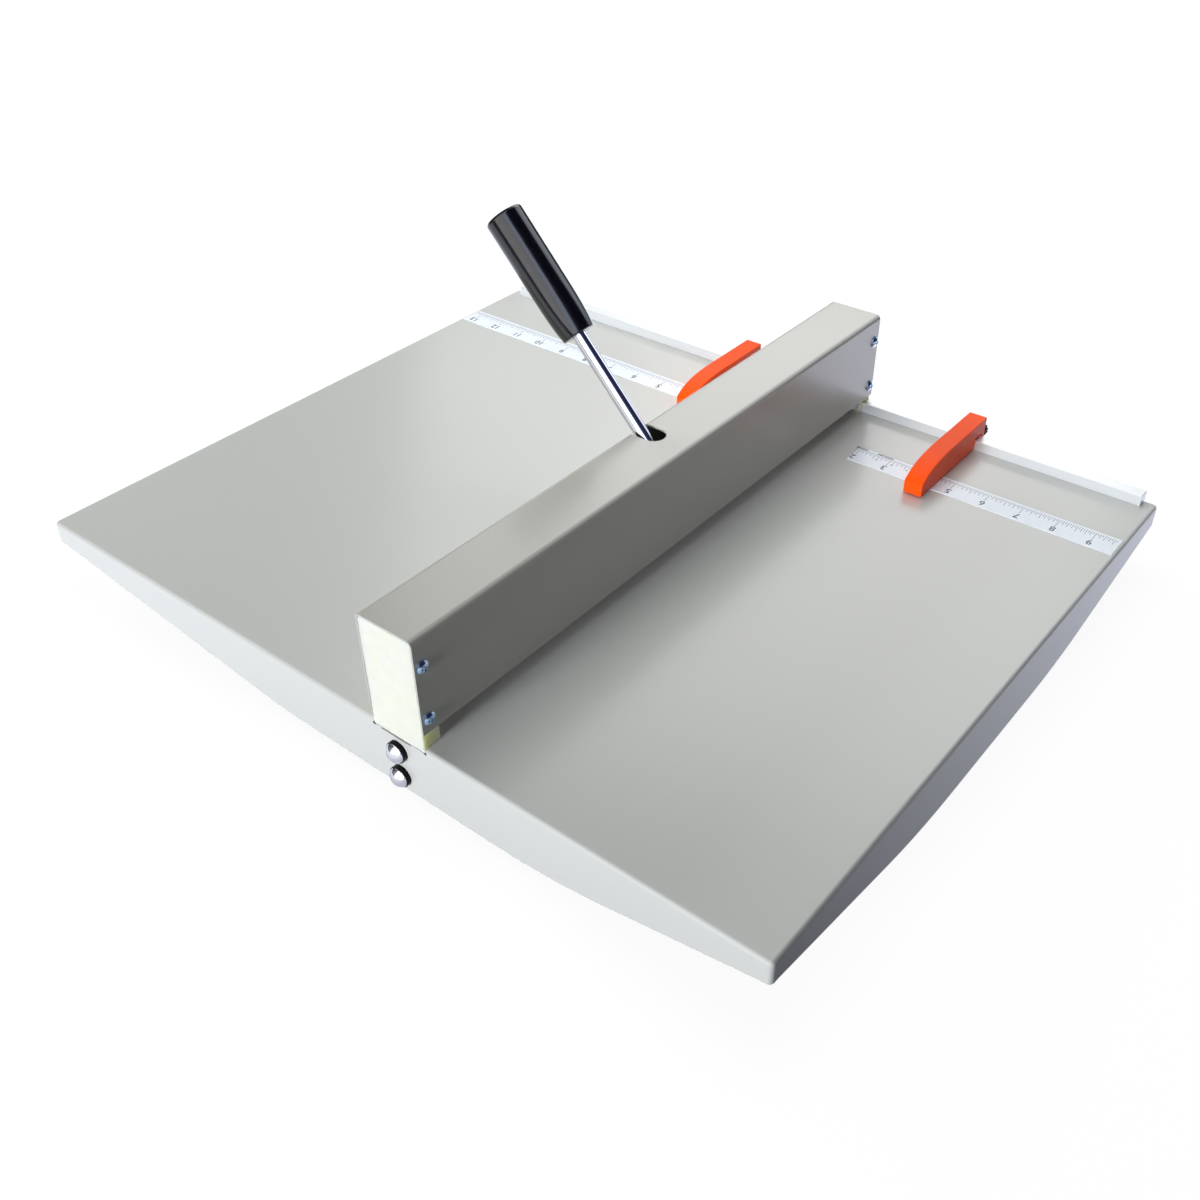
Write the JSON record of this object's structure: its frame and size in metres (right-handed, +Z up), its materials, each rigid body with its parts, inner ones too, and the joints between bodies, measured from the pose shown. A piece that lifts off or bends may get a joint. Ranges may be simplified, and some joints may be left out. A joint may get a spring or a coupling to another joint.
{
  "type": "desktop paper creasing machine",
  "caption": "Desktop hand-lever paper creaser: curved-rim table, covered creasing head, side lever with cams, fence with sliding paper stops.",
  "frame": {"origin": "on the desk under the middle of the table", "axes": "+X the way the sheet is fed, +Y along the crease towards the fence, +Z up"},
  "size_m": [0.589, 0.5019, 0.2472],
  "materials": {
    "table_paint": "satin warm grey enamel",
    "cover_paint": "satin warm grey enamel",
    "nylon": "ivory nylon",
    "zinc": "bright zinc plating",
    "chrome": "polished chrome",
    "black_plastic": "black plastic",
    "aluminium": "clear anodised aluminium",
    "white_paint": "white enamel",
    "rule_plate": "pale coated aluminium with dark print",
    "steel": "ground steel",
    "spring_steel": "spring steel",
    "black_steel": "black oxide steel",
    "grip_plastic": "gloss black",
    "orange_plastic": "orange, semi gloss",
    "rubber": "black rubber"
  },
  "bodies": {
    "base": {"table_pan": "table_paint", "end_block_front": "nylon", "end_block_rear": "nylon", "head_cover": "cover_paint", "cover_screws": "zinc", "frame_bolts": "chrome", "bolt_spacers": "black_plastic", "anvil_beam": "aluminium", "crease_die": "steel", "upper_spring_posts": "zinc", "return_spring_front_left": "spring_steel", "return_spring_front_right": "spring_steel", "return_spring_rear_left": "spring_steel", "return_spring_rear_right": "spring_steel", "fence_left": "white_paint", "fence_right": "white_paint", "fence_screws": "zinc", "ruler_left": "rule_plate", "ruler_right": "rule_plate", "foot_rail_left": "table_paint", "foot_rail_right": "table_paint", "foot_front_left": "rubber", "foot_front_right": "rubber", "foot_rear_left": "rubber", "foot_rear_right": "rubber", "foot_screws": "zinc"},
    "lever_shaft": {"cam_shaft": "steel", "press_cam_front": "steel", "press_cam_rear": "steel", "lever_hub": "steel", "shaft_set_screws": "black_steel", "lever_rod": "chrome", "lever_grip": "grip_plastic"},
    "press_bar": {"press_beam": "black_steel", "wear_pad_front": "steel", "wear_pad_rear": "steel", "crease_blade": "steel", "blade_clamp_bar": "steel", "blade_clamp_screws": "black_steel", "lower_spring_posts": "zinc"},
    "left_stop": {"stop_left": "orange_plastic"},
    "left_clamp_screw": {"stop_knob_left": "black_plastic"},
    "right_stop": {"stop_right": "orange_plastic"},
    "right_clamp_screw": {"stop_knob_right": "black_plastic"}
  },
  "joints": [
    {"name": "lever_swing", "type": "hinge", "parent": "base", "child": "lever_shaft", "pos_m": [0.049, 0.001, 0.1035], "axis": [0, -1, 0], "range_deg": [0, 45]},
    {"name": "press_bar_slide", "type": "slide", "parent": "base", "child": "press_bar", "axis": [0, 0, -1], "range_m": [0, 0.0065], "stiffness_N_per_m": 3000, "springref_m": -0.015, "deforming": ["return_spring_front_left", "return_spring_front_right", "return_spring_rear_left", "return_spring_rear_right"]},
    {"name": "left_stop_slide", "type": "slide", "parent": "base", "child": "left_stop", "axis": [1, 0, 0], "range_m": [-0.236, 0.058]},
    {"name": "left_clamp_turn", "type": "hinge", "parent": "left_stop", "child": "left_clamp_screw", "pos_m": [-0.0409, 0.2447, 0.052], "axis": [0, 1, 0], "range_deg": [-540, 0]},
    {"name": "right_stop_slide", "type": "slide", "parent": "base", "child": "right_stop", "axis": [1, 0, 0], "range_m": [-0.074, 0.12]},
    {"name": "right_clamp_turn", "type": "hinge", "parent": "right_stop", "child": "right_clamp_screw", "pos_m": [0.1555, 0.2447, 0.052], "axis": [0, 1, 0], "range_deg": [-540, 0]}
  ],
  "couplings": [
    {"joint": "press_bar_slide", "follows": "lever_swing", "m_per_rad": 0.0082761}
  ]
}
